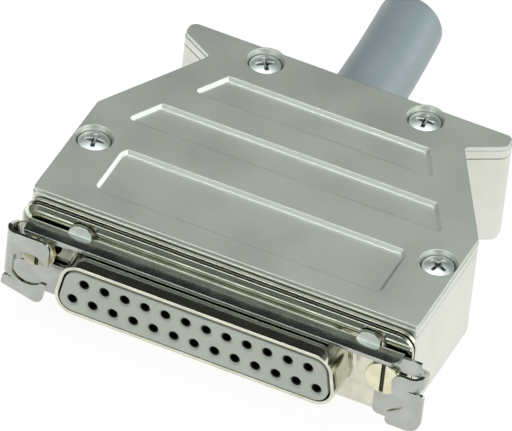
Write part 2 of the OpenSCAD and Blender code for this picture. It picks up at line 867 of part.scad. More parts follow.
// Bar across the top, bent down into the legs at both ends
module bar() {
    translate([0, 0, bar_bottom]) linear_extrude(lock_t) polygon(rounded(
        [[-bar_left_end, bar_front], [bar_right_end, bar_front],
            [bar_right_end, leg_back - lock_t], [-bar_left_end, leg_back - lock_t]],
        [0.3, bar_tip_r, 0.05, 0.05]
    ));
    translate([-leg_in, 0, 0]) rotate([90, 0, 90]) linear_extrude(2 * leg_in)
        bend_section(leg_back - lock_t, bar_bottom, lock_t, 0);
    for (span = [[-bar_left_end, -leg_in], [leg_in, bar_right_end]])
        translate([span[0], 0, 0]) rotate([90, 0, 90]) linear_extrude(span[1] - span[0])
            bend_section(leg_back - bar_bend_r, leg_top, bar_bend_r, bar_bend_r - lock_t);
}

module tongues() {
    both_ends() along_y(leg_front, leg_back) polygon(rounded(
        [[tongue_in, bar_bottom], [tongue_out, bar_bottom],
            [tongue_out, bar_top + tongue_h], [tongue_in, bar_top + tongue_h]],
        [0.05, 0.05, 1.2, 1.2]
    ));
}

module slide_lock() {
    color([0.6, 0.62, 0.63]) at_connector() translate([lock_travel / 2, 0, 0]) {
        bar();
        tongues();
        mirror([1, 0, 0]) {
            rear_leg(bar_left_end, fold_out, -left_fold_drop, left_ear_top);
            ear_fold(-left_fold_drop, left_ear_top);
            keyhole_ear();
        }
        rear_leg(bar_right_end, slot_end + right_leg_rim, right_fold_bottom, right_ear_top);
        ear_fold(right_fold_bottom, right_ear_top);
        notch_ear();
    }
}

// ---------- cable ----------

// Middle of the cable at depth y: straight in the hood, then gently bent
function cable_at(y) =
    let (s = max(y - rear_y, 0))
    [sqrt(cable_bend_r * cable_bend_r - s * s) - cable_bend_r, y, axis_z];

// Share of the cable's narrowing that is reached at depth y
function taper(y) = max(y - rear_y, 0) / cable_out;

// Rings of the cable's surface, inside its outer surface by deep
function cable_ring(y, deep) =
    let (
        r = cable_d / 2 - (cable_d - cable_end_d) / 2 * taper(y) - deep,
        at = cable_at(y)
    )
    [for (i = [0 : cable_sides - 1])
        let (angle = 360 * i / cable_sides)
        at + [r * cos(angle), 0, -r * sin(angle)]];

module cable_layer(y0, deep) {
    stations = concat([y0, rear_y], [for (i = [1 : 10]) rear_y + cable_out * i / 10]);
    loft([for (y = stations) cable_ring(y, deep)]);
}

// A hollow layer of the cable between two depths below its surface
module cable_tube(y0, outer, inner) {
    difference() {
        cable_layer(y0, outer);
        stations = concat(
            [y0 - over, rear_y], [for (i = [1 : 10]) rear_y + cable_out * i / 10],
            [rear_y + cable_out + over]
        );
        loft([for (y = stations) cable_ring(y, inner)]);
    }
}

module cable_jacket() {
    color([0.59, 0.61, 0.65]) cable_tube(jacket_y, 0, jacket_t);
}

module cable_braid() {
    color([0.75, 0.72, 0.68])
        cable_tube(braid_y, jacket_t + lay_gap, jacket_t + lay_gap + braid_t);
}

module cable_core() {
    color([0.85, 0.85, 0.85]) cable_layer(core_y, jacket_t + braid_t + 2 * lay_gap);
}

module crimp_ferrule() {
    color([0.75, 0.75, 0.76]) translate([0, 0, axis_z])
        along_y(braid_y + 0.3, jacket_y - 0.1) difference() {
            circle(braid_r + lay_gap + ferrule_t);
            circle(braid_r + lay_gap);
        }
}

module clamp_saddle() {
    inner = saddle_r - saddle_t;
    foot_x = clamp_x + 2;
    color([0.75, 0.75, 0.76]) difference() {
        translate([0, 0, axis_z]) along_y(clamp_y - saddle_l / 2, clamp_y + saddle_l / 2) {
            difference() {
                union() {
                    circle(saddle_r);
                    translate([-foot_x, -1]) square([2 * foot_x, saddle_t]);
                }
                circle(inner);
                translate([-hood_w, -hood_h - 1]) square([2 * hood_w, hood_h]);
            }
        }
        both_ends() translate([clamp_x, clamp_y, 0])
            cylinder(d = clamp_thread_d + 2 * hole_gap, h = hood_h);
    }
}

module clamp_screw(side) {
    color([0.8, 0.81, 0.82]) translate([side * clamp_x, clamp_y, clamp_post_z + saddle_t])
        cross_screw(clamp_head_d, clamp_head_h, clamp_thread_d, clamp_screw_l);
}

// ---------- wires ----------

// One wire: a bare end in its solder cup, then straight to the cable's core
module wire(from_x, from_z, to_x, to_z) {
    y0 = front_y + cup_back + 0.3;
    y1 = core_y;
    start = [from_x, y0, axis_z + from_z];
    way = [to_x - from_x, y1 - y0, to_z - from_z];
    pitch_angle = acos(way[2] / norm(way));
    yaw = atan2(way[1], way[0]);
    intersection() {
        translate(start - way * 0.1) rotate([0, pitch_angle, yaw])
            cylinder(d = wire_d, h = norm(way) * 1.2);
        translate([-hood_w, y0, 0]) cube([2 * hood_w, y1 - y0, hood_h]);
    }
    translate([start[0], y0 - 1.8, start[2]]) rotate([-90, 0, 0])
        cylinder(d = conductor_d, h = 1.8 + wire_d / 4);
}

// Neighbouring wires reach the core in three layers, so none touches the next
module wire_row(row, side) {
    middle = (len(row) - 1) / 2;
    for (i = [0 : len(row) - 1])
        wire(row[i][0], row[i][1], (i - middle) * wire_step_x,
            side * wire_step_z * (0.5 + i % 3));
}

module upper_wires() {
    color([0.8, 0.3, 0.25]) wire_row(upper_row, 1);
}

module lower_wires() {
    color([0.25, 0.4, 0.75]) wire_row(lower_row, -1);
}

hood_base();
hood_cover();
cover_screw(front_screw, -1, 12);  // cover_screw_front_left
cover_screw(front_screw, 1, -20);  // cover_screw_front_right
cover_screw(rear_screw, -1, 35);  // cover_screw_rear_left
cover_screw(rear_screw, 1, 5);  // cover_screw_rear_right
front_shell();
rear_shell();
front_insulator();
rear_insulator();
upper_contacts();
lower_contacts();
mirror([1, 0, 0]) lock_screw();  // left_lock_screw
lock_screw();  // right_lock_screw
slide_lock();
cable_jacket();
cable_braid();
cable_core();
crimp_ferrule();
clamp_saddle();
clamp_screw(-1);  // clamp_screw_left
clamp_screw(1);  // clamp_screw_right
upper_wires();
lower_wires();
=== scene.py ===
"""Looks of a 25-way metal connector hood with a slide lock and a short cable.

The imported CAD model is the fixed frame: X to the right, Y from the socket face
towards the cable, Z up, in metres. Each sub-assembly below is a class that holds
its sizes in millimetres, builds the meshes that stand for its CAD nodes and
dresses the nodes that stay.
"""

import logging
import math
from dataclasses import dataclass
from enum import Enum

import bpy
import numpy as np
from mathutils import Matrix, Vector


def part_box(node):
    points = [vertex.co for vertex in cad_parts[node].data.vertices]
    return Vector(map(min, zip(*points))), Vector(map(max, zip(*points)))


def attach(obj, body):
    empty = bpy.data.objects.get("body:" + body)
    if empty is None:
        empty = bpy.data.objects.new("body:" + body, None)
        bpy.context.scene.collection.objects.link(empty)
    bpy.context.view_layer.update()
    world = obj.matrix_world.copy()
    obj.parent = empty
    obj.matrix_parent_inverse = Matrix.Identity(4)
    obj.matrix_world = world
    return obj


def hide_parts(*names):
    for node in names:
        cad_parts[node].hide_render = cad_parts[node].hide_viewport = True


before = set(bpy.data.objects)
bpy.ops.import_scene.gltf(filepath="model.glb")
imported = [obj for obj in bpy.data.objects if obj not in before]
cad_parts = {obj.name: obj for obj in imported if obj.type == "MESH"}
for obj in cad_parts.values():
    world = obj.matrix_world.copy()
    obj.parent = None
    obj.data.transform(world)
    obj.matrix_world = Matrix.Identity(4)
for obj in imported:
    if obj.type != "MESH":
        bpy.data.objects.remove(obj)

LOG = logging.getLogger("connector_hood")

MM = 0.001
# How near a point lies to a plane or a rim that it belongs to, in millimetres
NEAR = 0.02
# The effects' masks mostly lie between these two values
MASK_LOW = 0.3
MASK_HIGH = 0.7
# Near-black colour of painted shade in screw recesses, under screw heads and on slot floors
PAINTED_SHADE_COLOUR = (0.02, 0.02, 0.018)

Colour = tuple[float, float, float]
Number = float | bpy.types.NodeSocket


class Slot(Enum):
    """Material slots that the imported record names."""

    HOOD = "hood_metal"
    SCREW = "screw_steel"
    SHELL = "shell_tin"
    INSULATOR = "insulator_grey"
    REAR_INSULATOR = "insulator_black"
    CONTACT = "contact_gold"
    LOCK_SCREW = "lock_screw_steel"
    LOCK = "lock_steel"
    CABLE = "cable_grey"
    BRAID = "braid_copper"
    CORE = "core_white"
    CLAMP = "clamp_steel"
    WIRE_UPPER = "wire_red"
    WIRE_LOWER = "wire_blue"


def grey(tone: float) -> tuple[float, float, float, float]:
    """Make a neutral colour of one tone."""
    return (tone, tone, tone, 1.0)


def box_mm(node: str) -> np.ndarray:
    """Measure a CAD node's box at rest, to a hundredth of a millimetre.

    Args:
        node: Name of the CAD node.

    Returns:
        Its lowest and its highest corner, in millimetres.
    """
    return np.round(np.array([corner[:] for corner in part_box(node)]) / MM, 2)


def middle_mm(node: str) -> np.ndarray:
    """Find the middle of a CAD node's box.

    Only hundredths of a millimetre are kept, because a round face made of facets
    can reach a little further on one side.

    Args:
        node: Name of the CAD node.

    Returns:
        X, Y and Z of the middle, in millimetres.
    """
    low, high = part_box(node)
    return np.round(np.array((low + high) / 2) / MM, 2)


class Graph:
    """A node tree with short calls for adding and joining nodes."""

    def __init__(self, tree: bpy.types.NodeTree) -> None:
        """Take over an empty node tree."""
        self.tree = tree

    def add(self, kind: str, **settings: object) -> bpy.types.Node:
        """Add a node and set its plain properties.

        Args:
            kind: Blender's name of the node type.
            settings: Properties to set on the node.

        Returns:
            The new node.
        """
        node = self.tree.nodes.new(kind)
        for name, value in settings.items():
            setattr(node, name, value)
        return node

    def link(self, source: bpy.types.NodeSocket, target: bpy.types.NodeSocket) -> None:
        """Join an output socket to an input socket."""
        self.tree.links.new(source, target)

    def feed(self, target: bpy.types.NodeSocket, value: Number) -> None:
        """Link a socket, or set a plain value, on an input socket.

        Args:
            target: The input socket.
            value: A number, or the socket that carries one.
        """
        if isinstance(value, bpy.types.NodeSocket):
            self.link(value, target)
        else:
            target.default_value = value

    def math(self, operation: str, first: Number, second: Number) -> bpy.types.NodeSocket:
        """Combine two numbers or sockets.

        Args:
            operation: Name of the Math node's operation.
            first: A number or a socket.
            second: A number or a socket.

        Returns:
            The node's result.
        """
        node = self.add("ShaderNodeMath", operation=operation)
        self.feed(node.inputs[0], first)
        self.feed(node.inputs[1], second)
        return node.outputs[0]

    def noise(
        self, vector: bpy.types.NodeSocket, scale: Number, detail: float, roughness: float = 0.5
    ) -> bpy.types.NodeSocket:
        """Sample fractal noise.

        Args:
            vector: Coordinates in metres.
            scale: Cells per metre.
            detail: Octaves of the noise.
            roughness: Strength of the finer octaves.

        Returns:
            The noise value from 0 to 1.
        """
        node = self.add("ShaderNodeTexNoise")
        self.link(vector, node.inputs["Vector"])
        self.feed(node.inputs["Scale"], scale)
        node.inputs["Detail"].default_value = detail
        node.inputs["Roughness"].default_value = roughness
        return node.outputs[0]

    def spread(
        self, value: bpy.types.NodeSocket, low: float, high: float, to_low: float, to_high: float
    ) -> bpy.types.NodeSocket:
        """Map a range of values to another, clamped.

        Args:
            value: The socket to map.
            low: Value that maps to to_low.
            high: Value that maps to to_high.
            to_low: Result at and below low.
            to_high: Result at and above high.

        Returns:
            The mapped value.
        """
        node = self.add("ShaderNodeMapRange")
        self.link(value, node.inputs["Value"])
        node.inputs["From Min"].default_value = low
        node.inputs["From Max"].default_value = high
        node.inputs["To Min"].default_value = to_low
        node.inputs["To Max"].default_value = to_high
        return node.outputs[0]


def fresh_graph(owner: bpy.types.Material | bpy.types.World) -> Graph:
    """Switch on the nodes of a material or a world, and empty them.

    Args:
        owner: The material or the world.

    Returns:
        Its empty node graph.
    """
    owner.use_nodes = True
    owner.node_tree.nodes.clear()
    return Graph(owner.node_tree)


def add_object(name: str, data: bpy.types.ID) -> bpy.types.Object:
    """Make an object and put it into the scene.

    Args:
        name: Name of the object.
        data: Its mesh, camera or light.

    Returns:
        The new object, at the origin.
    """
    made = bpy.data.objects.new(name, data)
    bpy.context.scene.collection.objects.link(made)
    return made


class SurfaceEffect:
    """A shader node group shared by several finishes, built once."""

    name = "surface effect"
    inputs: tuple[tuple[str, float], ...] = ()
    outputs: tuple[str, ...] = ()

    def group(self) -> bpy.types.NodeTree:
        """Make the node group, or return it if it was made before.

        Returns:
            The shader node group with its named sockets.
        """
        found = bpy.data.node_groups.get(self.name)
        if found:
            return found
        tree = bpy.data.node_groups.new(self.name, "ShaderNodeTree")
        for name, value in self.inputs:
            socket = tree.interface.new_socket(name, in_out="INPUT", socket_type="NodeSocketFloat")
            socket.default_value = value
        for name in self.outputs:
            tree.interface.new_socket(name, in_out="OUTPUT", socket_type="NodeSocketFloat")
        graph = Graph(tree)
        given = graph.add("NodeGroupInput")
        result = graph.add("NodeGroupOutput")
        self.build(graph, given, result)
        return tree

    def build(self, graph: Graph, given: bpy.types.Node, result: bpy.types.Node) -> None:
        """Fill the group with nodes; each effect writes its own."""
        raise NotImplementedError

    def place(self, graph: Graph, **values: float) -> bpy.types.Node:
        """Place the group in a material with its own values.

        Args:
            graph: The material's node graph.
            values: Input values by name.

        Returns:
            The group node.
        """
        node = graph.add("ShaderNodeGroup", node_tree=self.group())
        for name, value in values.items():
            node.inputs[name].default_value = value
        return node


class CastGrain(SurfaceEffect):
    """Fine grain of blasted metal over broad, faint mottling."""

    name = "cast grain"
    inputs = (("Grain", 9000.0), ("Mottle", 120.0))
    outputs = ("Height", "Fine", "Broad")

    def build(self, graph: Graph, given: bpy.types.Node, result: bpy.types.Node) -> None:
        """Fine and broad noise of the object coordinates, and both as one height.

        Args:
            graph: The group's node graph.
            given: The group's input node.
            result: The group's output node.
        """
        place = graph.add("ShaderNodeTexCoord").outputs["Object"]
        fine = graph.noise(place, given.outputs["Grain"], detail=2.0)
        broad = graph.noise(place, given.outputs["Mottle"], detail=3.0, roughness=0.6)
        height = graph.math("ADD", fine, graph.math("MULTIPLY", broad, 0.4))
        graph.link(height, result.inputs["Height"])
        graph.link(fine, result.inputs["Fine"])
        graph.link(broad, result.inputs["Broad"])


class RolledSheet(SurfaceEffect):
    """Faint rolling lines along X with cloudy variations of the plating."""

    name = "rolled sheet"
    inputs = (("Lines", 6000.0), ("Clouds", 350.0))
    outputs = ("Height", "Clouds")

    def build(self, graph: Graph, given: bpy.types.Node, result: bpy.types.Node) -> None:
        """Noise stretched along X makes lines; round noise makes clouds.

        Args:
            graph: The group's node graph.
            given: The group's input node.
            result: The group's output node.
        """
        place = graph.add("ShaderNodeTexCoord").outputs["Object"]
        stretch = graph.add("ShaderNodeMapping")
        stretch.inputs["Scale"].default_value = (0.03, 1.0, 1.0)
        graph.link(place, stretch.inputs["Vector"])
        lines = graph.noise(stretch.outputs[0], given.outputs["Lines"], detail=2.0)
        clouds = graph.noise(place, given.outputs["Clouds"], detail=3.0, roughness=0.55)
        graph.link(lines, result.inputs["Height"])
        graph.link(clouds, result.inputs["Clouds"])


@dataclass(frozen=True)
class Finish:
    """One procedural surface: a colour between two tones, roughness and fine relief.

    Attributes:
        slot: Material slot that the finish fills.
        light: Colour where the mask is high.
        dark: Colour where the mask is low.
        metallic: 1 for metal and 0 for plastic.
        rough: Roughness where the mask is high, and where it is low.
        effect: The shared effect that gives the mask and the height.
        mask: The effect's output that moves the colour and the roughness.
        relief: Depth of the effect's relief, in millimetres.
        edge: Radius that sharp edges seem to have, in millimetres.
        painted_shade_strength: How far the piece's painted shade, stored in its soil attribute,
            darkens the colour, up to 1.
        scales: The effect's own input values.
    """

    slot: Slot
    light: Colour
    dark: Colour
    metallic: float
    rough: tuple[float, float]
    effect: SurfaceEffect
    mask: str
    relief: float
    edge: float = 0.0
    painted_shade_strength: float = 0.0
    scales: tuple[tuple[str, float], ...] = ()

    def colour(self, graph: Graph, mask: bpy.types.NodeSocket) -> bpy.types.NodeSocket:
        """Move from the dark to the light tone with the mask, and paint shade on the points that
        the soil attribute marks.

        Args:
            graph: The material's node graph.
            mask: The effect's mask.

        Returns:
            The base colour.
        """
        ramp = graph.add("ShaderNodeValToRGB")
        dark, light = ramp.color_ramp.elements
        dark.position, dark.color = MASK_LOW, (*self.dark, 1.0)
        light.position, light.color = MASK_HIGH, (*self.light, 1.0)
        graph.link(mask, ramp.inputs["Fac"])
        if not self.painted_shade_strength:
            return ramp.outputs["Color"]
        # Painted shade: the soil attribute mixes the colour towards near black where recesses and
        # hidden parts lie in shade
        painted_shade = graph.add("ShaderNodeMix", data_type="RGBA")
        marked = graph.add("ShaderNodeAttribute", attribute_name="painted_shade").outputs["Fac"]
        graph.link(graph.math("MULTIPLY", marked, self.painted_shade_strength), painted_shade.inputs["Factor"])
        graph.link(ramp.outputs["Color"], painted_shade.inputs["A"])
        painted_shade.inputs["B"].default_value = (*PAINTED_SHADE_COLOUR, 1.0)
        return painted_shade.outputs["Result"]

    def normal(self, graph: Graph, height: bpy.types.NodeSocket) -> bpy.types.NodeSocket:
        """Raise the relief over edges that seem to have a small radius.

        Args:
            graph: The material's node graph.
            height: The effect's height.

        Returns:
            The shading normal.
        """
        bump = graph.add("ShaderNodeBump")
        bump.inputs["Strength"].default_value = 1.0
        bump.inputs["Distance"].default_value = self.relief * MM
        graph.link(height, bump.inputs["Height"])
        if self.edge:
            bevel = graph.add("ShaderNodeBevel", samples=6)
            bevel.inputs["Radius"].default_value = self.edge * MM
            graph.link(bevel.outputs["Normal"], bump.inputs["Normal"])
        return bump.outputs["Normal"]

    def material(self) -> bpy.types.Material:
        """Make the material, or return it if it was made before.

        Returns:
            The node material.
        """
        name = self.slot.value + ".finish"
        found = bpy.data.materials.get(name)
        if found:
            return found
        material = bpy.data.materials.new(name)
        graph = fresh_graph(material)
        shader = graph.add("ShaderNodeBsdfPrincipled")
        shader.inputs["Metallic"].default_value = self.metallic
        effect = self.effect.place(graph, **dict(self.scales)).outputs
        smooth, coarse = self.rough
        rough = graph.spread(effect[self.mask], MASK_LOW, MASK_HIGH, coarse, smooth)
        graph.link(self.colour(graph, effect[self.mask]), shader.inputs["Base Color"])
        graph.link(rough, shader.inputs["Roughness"])
        graph.link(self.normal(graph, effect["Height"]), shader.inputs["Normal"])
        output = graph.add("ShaderNodeOutputMaterial")
        graph.link(shader.outputs["BSDF"], output.inputs["Surface"])
        return material


GRAIN = CastGrain()
ROLLED = RolledSheet()

HOOD_METAL = Finish(
    slot=Slot.HOOD,
    light=(0.78, 0.785, 0.74),
    dark=(0.72, 0.725, 0.68),
    metallic=1.0,
    rough=(0.38, 0.46),
    effect=GRAIN,
    mask="Broad",
    relief=0.014,
    edge=0.14,
    scales=(("Grain", 6000.0), ("Mottle", 90.0)),
)
SCREW_STEEL = Finish(
    slot=Slot.SCREW,
    light=(0.9, 0.93, 0.93),
    dark=(0.74, 0.77, 0.77),
    metallic=1.0,
    rough=(0.32, 0.46),
    effect=ROLLED,
    mask="Clouds",
    relief=0.004,
    edge=0.06,
    # Strength of the painted shade in the recesses and under the heads
    painted_shade_strength=0.85,
)
SHELL_TIN = Finish(
    slot=Slot.SHELL,
    light=(0.74, 0.73, 0.64),
    dark=(0.6, 0.59, 0.5),
    metallic=1.0,
    rough=(0.07, 0.16),
    effect=ROLLED,
    mask="Clouds",
    relief=0.006,
    edge=0.12,
    scales=(("Lines", 2500.0), ("Clouds", 500.0)),
)
INSULATOR_GREY = Finish(
    slot=Slot.INSULATOR,
    light=(0.57, 0.575, 0.53),
    dark=(0.52, 0.525, 0.48),
    metallic=0.0,
    rough=(0.42, 0.5),
    effect=GRAIN,
    mask="Broad",
    relief=0.004,
    edge=0.16,
)
INSULATOR_BLACK = Finish(
    slot=Slot.REAR_INSULATOR,
    light=(0.03, 0.03, 0.03),
    dark=(0.02, 0.02, 0.02),
    metallic=0.0,
    rough=(0.4, 0.5),
    effect=GRAIN,
    mask="Broad",
    relief=0.004,
)
# Painted shade: the gold contacts are coloured nearly black, standing for the shade deep in the
# socket holes
CONTACTS_IN_PAINTED_SHADE = Finish(
    slot=Slot.CONTACT,
    light=(0.05, 0.045, 0.035),
    dark=(0.03, 0.027, 0.02),
    metallic=1.0,
    rough=(0.3, 0.4),
    effect=ROLLED,
    mask="Clouds",
    relief=0.002,
)
LOCK_SCREW_STEEL = Finish(
    slot=Slot.LOCK_SCREW,
    light=(0.86, 0.86, 0.66),
    dark=(0.66, 0.63, 0.44),
    metallic=1.0,
    rough=(0.14, 0.26),
    effect=ROLLED,
    mask="Clouds",
    relief=0.003,
    edge=0.08,
    # Strength of the painted shade on the floors of the slots
    painted_shade_strength=0.96,
)
LOCK_STEEL = Finish(
    slot=Slot.LOCK,
    light=(0.5, 0.515, 0.5),
    dark=(0.41, 0.425, 0.41),
    metallic=1.0,
    rough=(0.12, 0.22),
    effect=ROLLED,
    mask="Clouds",
    relief=0.004,
    edge=0.1,
)
CABLE_GREY = Finish(
    slot=Slot.CABLE,
    light=(0.3, 0.335, 0.37),
    dark=(0.265, 0.3, 0.335),
    metallic=0.0,
    rough=(0.36, 0.46),
    effect=GRAIN,
    mask="Broad",
    relief=0.012,
)
BRAID_COPPER = Finish(
    slot=Slot.BRAID,
    light=(0.62, 0.56, 0.5),
    dark=(0.4, 0.33, 0.28),
    metallic=1.0,
    rough=(0.3, 0.45),
    effect=GRAIN,
    mask="Fine",
    relief=0.02,
)
CORE_WHITE = Finish(
    slot=Slot.CORE,
    light=(0.75, 0.75, 0.72),
    dark=(0.66, 0.66, 0.63),
    metallic=0.0,
    rough=(0.5, 0.6),
    effect=GRAIN,
    mask="Broad",
    relief=0.01,
)
CLAMP_STEEL = Finish(
    slot=Slot.CLAMP,
    light=(0.66, 0.67, 0.68),
    dark=(0.56, 0.57, 0.58),
    metallic=1.0,
    rough=(0.25, 0.36),
    effect=ROLLED,
    mask="Clouds",
    relief=0.004,
)
WIRE_RED = Finish(
    slot=Slot.WIRE_UPPER,
    light=(0.6, 0.06, 0.05),
    dark=(0.5, 0.04, 0.04),
    metallic=0.0,
    rough=(0.35, 0.45),
    effect=GRAIN,
    mask="Broad",
    relief=0.004,
)
WIRE_BLUE = Finish(
    slot=Slot.WIRE_LOWER,
    light=(0.05, 0.14, 0.5),
    dark=(0.04, 0.1, 0.42),
    metallic=0.0,
    rough=(0.35, 0.45),
    effect=GRAIN,
    mask="Broad",
    relief=0.004,
)


def dress(node: str, finish: Finish) -> None:
    """Give a CAD node its finish.

    Args:
        node: Name of the CAD node.
        finish: The finish to assign.
    """
    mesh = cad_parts[node].data
    mesh.materials.clear()
    mesh.materials.append(finish.material())
    LOG.info("dressed %s as %s", node, finish.slot.value)


def lengths(vectors: np.ndarray) -> np.ndarray:
    """Length of each row, never zero, so that the row can be divided by it."""
    return np.maximum(np.linalg.norm(vectors, axis=1, keepdims=True), 1e-18)


def corner_normals(points: np.ndarray, faces: np.ndarray, sharp: float) -> np.ndarray:
    """Normals at the triangles' corners, so that flat faces stay flat beside round ones.

    A corner's normal is the sum of the area vectors of those triangles round its
    point that lean less than the sharp angle from its own triangle.

    Args:
        points: Points, one to a row.
        faces: Corner indices of the triangles.
        sharp: Angle in degrees past which an edge stays sharp.

    Returns:
        A unit vector for every corner, face by face.
    """
    a, b, c = (points[faces[:, i]] for i in range(3))
    area = np.cross(b - a, c - a)
    unit = area / lengths(area)
    at = faces.reshape(-1)
    face = np.repeat(np.arange(len(faces)), 3)
    # The corners sorted by point: those round a point follow each other
    order = np.argsort(at, kind="stable")
    count = np.bincount(at, minlength=len(points))
    start = np.cumsum(count) - count
    # Every corner beside every triangle round its point, as two long lists
    shared = count[at]
    ends = np.cumsum(shared)
    begins = ends - shared
    own = np.repeat(face, shared)
    step = np.arange(ends[-1]) - np.repeat(begins, shared)
    other = face[order[np.repeat(start[at], shared) + step]]
    near = (unit[own] * unit[other]).sum(axis=1) > math.cos(math.radians(sharp))
    total = np.add.reduceat(np.where(near[:, None], area[other], 0.0), begins, axis=0)
    total = np.where(np.linalg.norm(total, axis=1, keepdims=True) > 0.0, total, unit[face])
    return total / lengths(total)


def add_piece(
    name: str, points: np.ndarray, faces: np.ndarray, finish: Finish,
    stands_for: tuple[str, ...] = (), body: str = "hood", sharp: float = 32.0,
) -> bpy.types.Object:
    """Make a piece from points and faces, shaded smooth between sharp edges.

    Args:
        name: Name of the piece.
        points: Its points in metres, one to a row.
        faces: Indices of each face's corners, one face to a row.
        finish: The finish to assign.
        stands_for: CAD nodes that the piece replaces.
        body: CAD body that it moves with.
        sharp: Angle in degrees past which an edge stays sharp.

    Returns:
        The new object.
    """
    mesh = bpy.data.meshes.new(name)
    mesh.from_pydata(points.tolist(), [], faces.tolist())
    mesh.shade_smooth()
    if faces.shape[1] == 3:
        mesh.normals_split_custom_set(corner_normals(points, faces, sharp).tolist())
    else:
        mesh.set_sharp_from_angle(angle=math.radians(sharp))
    mesh.materials.append(finish.material())
    piece = add_object(name, mesh)
    if stands_for:
        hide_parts(*stands_for)
    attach(piece, body)
    LOG.info("made %s with %d faces", name, len(faces))
    return piece


def merged_mesh(node: str) -> tuple[np.ndarray, np.ndarray]:
    """Read a CAD node's mesh with its corners merged.

    Corners that lie within a thousandth of a millimetre become one point.

    Args:
        node: Name of the CAD node.

    Returns:
        Points in metres and the corner indices of the triangles.
    """
    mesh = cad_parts[node].data
    points = np.empty(3 * len(mesh.vertices))
    mesh.vertices.foreach_get("co", points)
    corners = np.empty(len(mesh.loops), dtype=np.int32)
    mesh.loops.foreach_get("vertex_index", corners)
    points = points.reshape(-1, 3)
    keys = np.round(points / (0.001 * MM)).astype(np.int64)
    _, first, merged = np.unique(keys, axis=0, return_index=True, return_inverse=True)
    faces = merged.reshape(-1)[corners].reshape(-1, 3)
    proper = (faces != np.roll(faces, 1, axis=1)).all(axis=1)
    return points[first], faces[proper]


def mark_painted_shade(piece: bpy.types.Object, values: np.ndarray) -> None:
    """Store how much painted shade each point of a piece gets, from 0 none to 1 full."""
    mask = piece.data.attributes.new("painted_shade", "FLOAT", "POINT")
    mask.data.foreach_set("value", values.reshape(-1).astype(np.float32))


def smooth_copy(node: str, finish: Finish) -> None:
    """Replace a CAD node of the hood by a merged copy whose round faces shade smoothly.

    Args:
        node: Name of the CAD node.
        finish: The finish to assign.
    """
    points, faces = merged_mesh(node)
    add_piece(node + ".smooth", points, faces, finish, (node,))


def ring_faces(rings: int, sides: int, joined: bool = False) -> np.ndarray:
    """Faces between neighbouring rings, whose points are numbered ring by ring.

    Args:
        rings: Number of rings.
        sides: Number of points in a ring.
        joined: Whether the last ring joins the first.

    Returns:
        Four corner indices for each face.
    """
    ring, side = np.meshgrid(
        np.arange(rings if joined else rings - 1), np.arange(sides), indexing="ij"
    )
    next_ring = (ring + 1) % rings
    next_side = (side + 1) % sides
    corners = np.stack([
        ring * sides + side, ring * sides + next_side,
        next_ring * sides + next_side, next_ring * sides + side,
    ], axis=-1)
    return corners.reshape(-1, 4)


def smooth_step(values: np.ndarray) -> np.ndarray:
    """Ease from 0 to 1 as the value goes from 0 to 1, and clamp outside."""
    t = np.clip(values, 0.0, 1.0)
    return t * t * (3.0 - 2.0 * t)


@dataclass
class Interior:
    """Pieces inside the hood, which keep their CAD meshes."""

    finishes: tuple[tuple[Finish, tuple[str, ...]], ...] = (
        (SCREW_STEEL, ("clamp_screw_left", "clamp_screw_right")),
        (INSULATOR_BLACK, ("rear_insulator",)),
        # The contacts carry painted shade instead of gold
        (CONTACTS_IN_PAINTED_SHADE, ("upper_contacts", "lower_contacts")),
        (BRAID_COPPER, ("cable_braid",)),
        (CORE_WHITE, ("cable_core",)),
        (CLAMP_STEEL, ("crimp_ferrule", "clamp_saddle")),
        (WIRE_RED, ("upper_wires",)),
        (WIRE_BLUE, ("lower_wires",)),
    )

    def build(self) -> None:
        """Dress every inner node."""
        for finish, nodes in self.finishes:
            for node in nodes:
                dress(node, finish)


@dataclass(frozen=True)
class ScrewSeats:
    """Where the four cover screws sit, on the floors of their pockets.

    Attributes:
        floor_z: Height of a pocket's floor, in millimetres.
        turns: Turn of each screw's recess, in degrees.
    """

    floor_z: float = 14.65
    turns: tuple[tuple[str, float], ...] = (
        ("cover_screw_front_left", 12.0),
        ("cover_screw_front_right", -20.0),
        ("cover_screw_rear_left", 35.0),
        ("cover_screw_rear_right", 5.0),
    )

    def axes(self) -> dict[str, np.ndarray]:
        """Find the screws' axes from their CAD nodes.

        Returns:
            X and Y of each axis in millimetres, by the name of its node.
        """
        return {name: middle_mm(name)[:2] for name, _ in self.turns}


@dataclass
class Hood:
    """The two halves of the hood, with its screw pockets. Lengths in millimetres."""

    seats: ScrewSeats = ScrewSeats()
    pocket_d: float = 4.9
    pocket_floor_d: float = 4.16

    def drafted(self, points: np.ndarray) -> np.ndarray:
        """Narrow the floors of the screw pockets, so that their cast walls have draft.

        Points on a pocket's lower rim move towards its axis.

        Args:
            points: Points of the cover in metres.

        Returns:
            The moved points.
        """
        moved = points.copy()
        low = np.abs(points[:, 2] - self.seats.floor_z * MM) < NEAR * MM
        for place in self.seats.axes().values():
            axis = place * MM
            out = points[:, :2] - axis
            reach = np.hypot(out[:, 0], out[:, 1])
            rim = low & (np.abs(reach - self.pocket_d / 2 * MM) < NEAR * MM)
            moved[rim, :2] = axis + out[rim] * self.pocket_floor_d / self.pocket_d
        return moved

    def build(self) -> None:
        """Smooth the round edges of both halves and draft the pockets."""
        smooth_copy("hood_base", HOOD_METAL)
        points, faces = merged_mesh("hood_cover")
        add_piece("hood_cover.smooth", self.drafted(points), faces, HOOD_METAL, ("hood_cover",))


